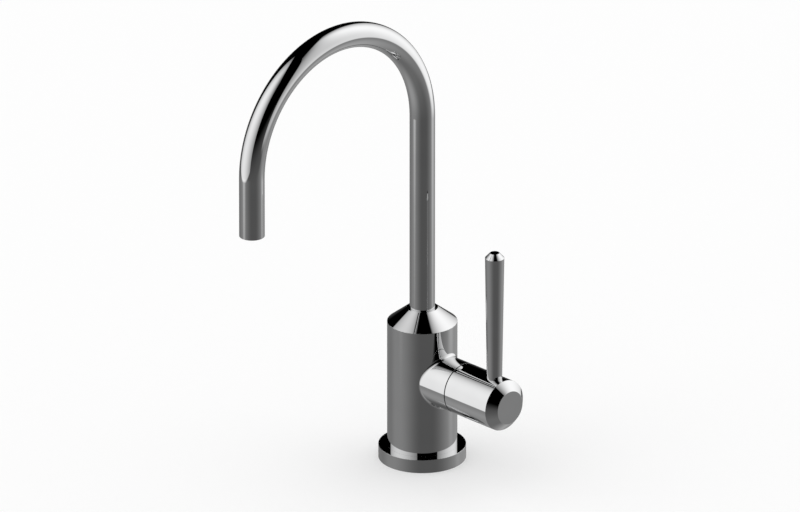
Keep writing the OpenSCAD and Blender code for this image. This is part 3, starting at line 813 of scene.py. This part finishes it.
class DomeTone:
    """Tone of the studio by direction: azimuth from the camera, positive to its right, and elevation."""

    def __init__(self, tree):
        self.tree = tree
        place = tree.nodes.new("ShaderNodeTexCoord").outputs["Object"]
        unit = tree.nodes.new("ShaderNodeVectorMath")
        unit.operation = "NORMALIZE"
        tree.links.new(place, unit.inputs[0])
        parts = tree.nodes.new("ShaderNodeSeparateXYZ")
        tree.links.new(unit.outputs["Vector"], parts.inputs["Vector"])
        self.right = parts.outputs["X"]
        self.front = self.math("MULTIPLY", parts.outputs["Y"], -1.0)
        self.up = parts.outputs["Z"]
        self.azimuth = self.math("DEGREES", self.math("ARCTAN2", self.right, self.front))
        self.elevation = self.math("DEGREES", self.math("ARCSINE", self.up))

    def math(self, operation, *values):
        node = self.tree.nodes.new("ShaderNodeMath")
        node.operation = operation
        for socket, value in zip(node.inputs, values):
            if isinstance(value, (int, float)):
                socket.default_value = value
            else:
                self.tree.links.new(value, socket)
        return node.outputs["Value"]

    def ramp(self, source, start, end, low=0.0, high=1.0):
        """Smooth step from low at start to high at end."""
        node = self.tree.nodes.new("ShaderNodeMapRange")
        node.interpolation_type = "SMOOTHSTEP"
        if start > end:
            start, end, low, high = end, start, high, low
        node.inputs["From Min"].default_value = start
        node.inputs["From Max"].default_value = end
        node.inputs["To Min"].default_value = low
        node.inputs["To Max"].default_value = high
        self.tree.links.new(source, node.inputs["Value"])
        return node.outputs["Result"]

    def across(self, *steps):
        return self.ramp(self.azimuth, *steps)

    def upward(self, *steps):
        return self.ramp(self.elevation, *steps)

    def product(self, *values):
        total = values[0]
        for value in values[1:]:
            total = self.math("MULTIPLY", total, value)
        return total

    def total(self, *values):
        total = values[0]
        for value in values[1:]:
            total = self.math("ADD", total, value)
        return total

    def falloff(self, source, centre, rate):
        """Light that fades away from a centre."""
        away = self.math("SUBTRACT", source, centre)
        spread = self.math("MULTIPLY_ADD", self.math("MULTIPLY", away, away), rate, 1.0)
        return self.math("DIVIDE", 1.0, spread)

    def softbox(self, facing, sides, leans, ends, centre, rates, level):
        """Flat upright softbox that faces the tap from an azimuth.

        Its place is measured on its own plane, as tangents: sides and ends hold the outer and inner limit
        of its four soft edges, leans how far its sides move over as they rise, centre its brightest place
        and rates how fast it fades from there.
        """
        turn = math.radians(facing)
        ahead = self.total(self.math("MULTIPLY", self.right, math.sin(turn)),
                           self.math("MULTIPLY", self.front, math.cos(turn)))
        aside = self.total(self.math("MULTIPLY", self.right, math.cos(turn)),
                           self.math("MULTIPLY", self.front, -math.sin(turn)))
        along = self.math("DIVIDE", aside, ahead)
        above = self.math("DIVIDE", self.up, ahead)
        edges = [self.math("MULTIPLY_ADD", above, -lean, along) for lean in leans]
        return self.product(
            self.math("GREATER_THAN", ahead, 0.01),
            self.ramp(edges[0], *sides[0]), self.ramp(edges[1], *sides[1]),
            self.ramp(above, *ends[0]), self.ramp(above, *ends[1]),
            self.falloff(along, centre[0], rates[0]), self.falloff(above, centre[1], rates[1]), level)


def studio_tone(tone):
    """Two tall softboxes beside a dark aisle, over a grey table that they light."""
    left_box = tone.softbox(
        facing=-74.7, sides=((-1.294, -1.174), (1.54, 1.42)), leans=(-0.14, 0.15),
        ends=((-0.44, -0.365), (3.76, 3.23)), centre=(-0.19, 0.725), rates=(0.76, 0.2), level=0.856)
    right_box = tone.softbox(
        facing=107.7, sides=((-1.505, -1.385), (1.57, 1.41)), leans=(-0.1, 0.0),
        ends=((-0.458, -0.326), (3.99, 3.11)), centre=(0.22, 0.62), rates=(0.84, 0.222), level=0.99)
    table = tone.total(tone.upward(11.8, -20.5, 0.0, 0.07), tone.upward(-10.6, -60.5, 0.0, 0.06))
    near = tone.product(
        tone.upward(-95, -42), tone.upward(-42.8, -23.1, 1.0, 0.765), tone.upward(-18.1, -21.2))
    left_glow = tone.product(tone.across(-1.6, -83), tone.across(-130, -97, 0.63, 1.0), near, 0.167)
    right_glow = tone.product(tone.across(30.2, 124.5), tone.across(164, 154, 0.62, 1.0), near, 0.232)
    return tone.total(left_box, right_box, table, left_glow, right_glow)


def studio_dome():
    """What the chrome mirrors: a dark studio with softboxes, which isn't seen directly.

    To the floor, the chrome mirrors the even white light of the room.
    """
    verts = []
    rings = []
    for k in range(DOME_ROWS + 1):
        lift = math.pi * (k / DOME_ROWS - 0.5)
        count = 1 if k in (0, DOME_ROWS) else DOME_SIDES
        rings.append(list(range(len(verts), len(verts) + count)))
        for j in range(count):
            turn = 2 * math.pi * j / DOME_SIDES
            flat = DOME_R / MM * math.cos(lift) if count > 1 else 0.0
            verts.append((flat * math.cos(turn), flat * math.sin(turn), DOME_R / MM * math.sin(lift)))
    faces = []
    for below, above in zip(rings, rings[1:]):
        faces += strip(below, above)
    dome = new_piece("studio_dome", verts, faces)
    dome.location = (cad_low + cad_high) / 2
    dome.rotation_euler.z = math.radians(CAMERA_AZIMUTH)
    material = bpy.data.materials.new("studio_dome")
    material.use_nodes = True
    tree = material.node_tree
    tree.nodes.remove(tree.nodes["Principled BSDF"])
    tone = DomeTone(tree)
    lamp = tree.nodes.new("ShaderNodeEmission")
    mirrored = tone.math("DIVIDE", studio_tone(tone), MIRROR)
    path = tree.nodes.new("ShaderNodeLightPath")
    to_floor = tone.math("GREATER_THAN", path.outputs["Diffuse Depth"], 0.5)
    change = tone.math("SUBTRACT", AMBIENT, mirrored)
    tree.links.new(tone.math("MULTIPLY_ADD", change, to_floor, mirrored), lamp.inputs["Strength"])
    tree.links.new(lamp.outputs["Emission"], tree.nodes["Material Output"].inputs["Surface"])
    material.cycles.emission_sampling = "NONE"
    dome.data.materials.append(material)
    dome.visible_camera = False
    dome.visible_diffuse = False
    dome.visible_shadow = False
    dome.visible_transmission = False


def sun(name, azimuth, elevation, strength):
    """Very soft lamp from a direction, with azimuth from the camera."""
    lamp = bpy.data.lights.new(name, "SUN")
    lamp.energy = strength
    lamp.angle = math.radians(SUN_SPREAD)
    turn = math.radians(CAMERA_AZIMUTH + azimuth)
    lift = math.radians(elevation)
    towards = Vector((math.sin(turn) * math.cos(lift), -math.cos(turn) * math.cos(lift), math.sin(lift)))
    item = bpy.data.objects.new(name, lamp)
    bpy.context.scene.collection.objects.link(item)
    item.rotation_euler = towards.to_track_quat("Z", "Y").to_euler()
    item.visible_glossy = False


def white_world():
    """Even soft light, which the camera, metal and glass see as white."""
    world = bpy.data.worlds.new("white_world")
    bpy.context.scene.world = world
    world.use_nodes = True
    tree = world.node_tree
    background = tree.nodes["Background"]
    background.inputs["Color"].default_value = (1, 1, 1, 1)
    path = tree.nodes.new("ShaderNodeLightPath")
    seen = path.outputs["Is Camera Ray"]
    for ray in ("Is Glossy Ray", "Is Transmission Ray"):
        either = tree.nodes.new("ShaderNodeMath")
        either.operation = "MAXIMUM"
        tree.links.new(seen, either.inputs[0])
        tree.links.new(path.outputs[ray], either.inputs[1])
        seen = either.outputs["Value"]
    level = tree.nodes.new("ShaderNodeMapRange")
    level.inputs["To Min"].default_value = AMBIENT
    level.inputs["To Max"].default_value = 1.0
    tree.links.new(seen, level.inputs["Value"])
    tree.links.new(level.outputs["Result"], background.inputs["Strength"])


def main_view():
    """Camera at the photograph's angle."""
    turn = math.radians(CAMERA_AZIMUTH)
    lift = math.radians(CAMERA_ELEVATION)
    right = Vector((math.cos(turn), math.sin(turn), 0))
    back = Vector((math.sin(turn) * math.cos(lift), -math.cos(turn) * math.cos(lift), math.sin(lift)))
    up = back.cross(right)
    lens = bpy.data.cameras.new("main_camera")
    lens.lens = CAMERA_LENS
    lens.sensor_width = CAMERA_SENSOR
    camera = bpy.data.objects.new("main_camera", lens)
    bpy.context.scene.collection.objects.link(camera)
    camera.location = (right * AIM_RIGHT + up * AIM_UP) * MM + back * CAMERA_DISTANCE
    camera.rotation_euler = (-back).to_track_quat("-Z", "Y").to_euler()
    bpy.context.scene.camera = camera


# Assembly


def fit(piece, node, body, material):
    """Puts a finished piece in the place of a CAD node."""
    piece.data.materials.clear()
    piece.data.materials.append(material)
    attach(piece, body)
    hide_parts(node)


def dress(material, *nodes):
    """Gives CAD nodes that keep their shape a finish."""
    for name in nodes:
        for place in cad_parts[name].material_slots:
            place.material = material


def hide_from_mirror(*names):
    """Keeps what the worktop covers out of the chrome's reflections above it."""
    for name in names:
        bpy.data.objects[name].visible_glossy = False


main_view()
white_world()
sun("sun_left", *SUN_LEFT)
sun("sun_right", *SUN_RIGHT)
floor_plane()
studio_dome()

chrome = chrome_plate()
brass_upright = turned_brass("turned_brass_upright", "Z")
brass_across = turned_brass("turned_brass_across", "X")

fit(flange_ring(), "base_flange", "tap_body", chrome)
fit(body_column(), "body_shell", "tap_body", chrome)
fit(shoulder_cone(), "shoulder_cap", "tap_body", chrome)
fit(barrel_sleeve(), "valve_barrel", "tap_body", chrome)
fit(hub_turned(), "handle_hub", "handle", chrome)
fit(lever_stem(), "lever_rod", "handle", chrome)
fit(swan_neck(), "spout_tube", "spout", chrome)
fit(outlet_nozzle(), "outlet_housing", "spout", chrome)
fit(shank_threaded(), "mounting_shank", "tap_body", brass_upright)
fit(nut_threaded(), "lock_nut", "tap_body", brass_upright)

dress(brass_upright, "spout_tail")
dress(brass_across, "cartridge_housing", "spindle")
dress(sealing_rubber(), "deck_gasket", "barrel_o_ring", "housing_o_ring", "seat_seal", "spindle_o_rings",
      "spout_o_rings", "outlet_seal", "clamp_gasket")
dress(moulded_plastic("white_plastic", (0.74, 0.74, 0.72), (0.80, 0.80, 0.78), 0.34),
      "lower_slide_washer", "upper_slide_washer", "thrust_washer", "outlet_straightener")
dress(moulded_plastic("dark_plastic", (0.012, 0.012, 0.013), (0.024, 0.024, 0.026), 0.4),
      "spout_guide_bush", "seam_washer")
dress(lapped_ceramic(), "fixed_disc", "moving_disc")
dress(stamped_steel(), "clamp_washer", "grub_screw", "spindle_clip")

hide_from_mirror("shank_threaded", "nut_threaded", "clamp_gasket", "clamp_washer", "deck_gasket")

bpy.context.scene.view_settings.view_transform = "Standard"
bpy.context.view_layer.update()
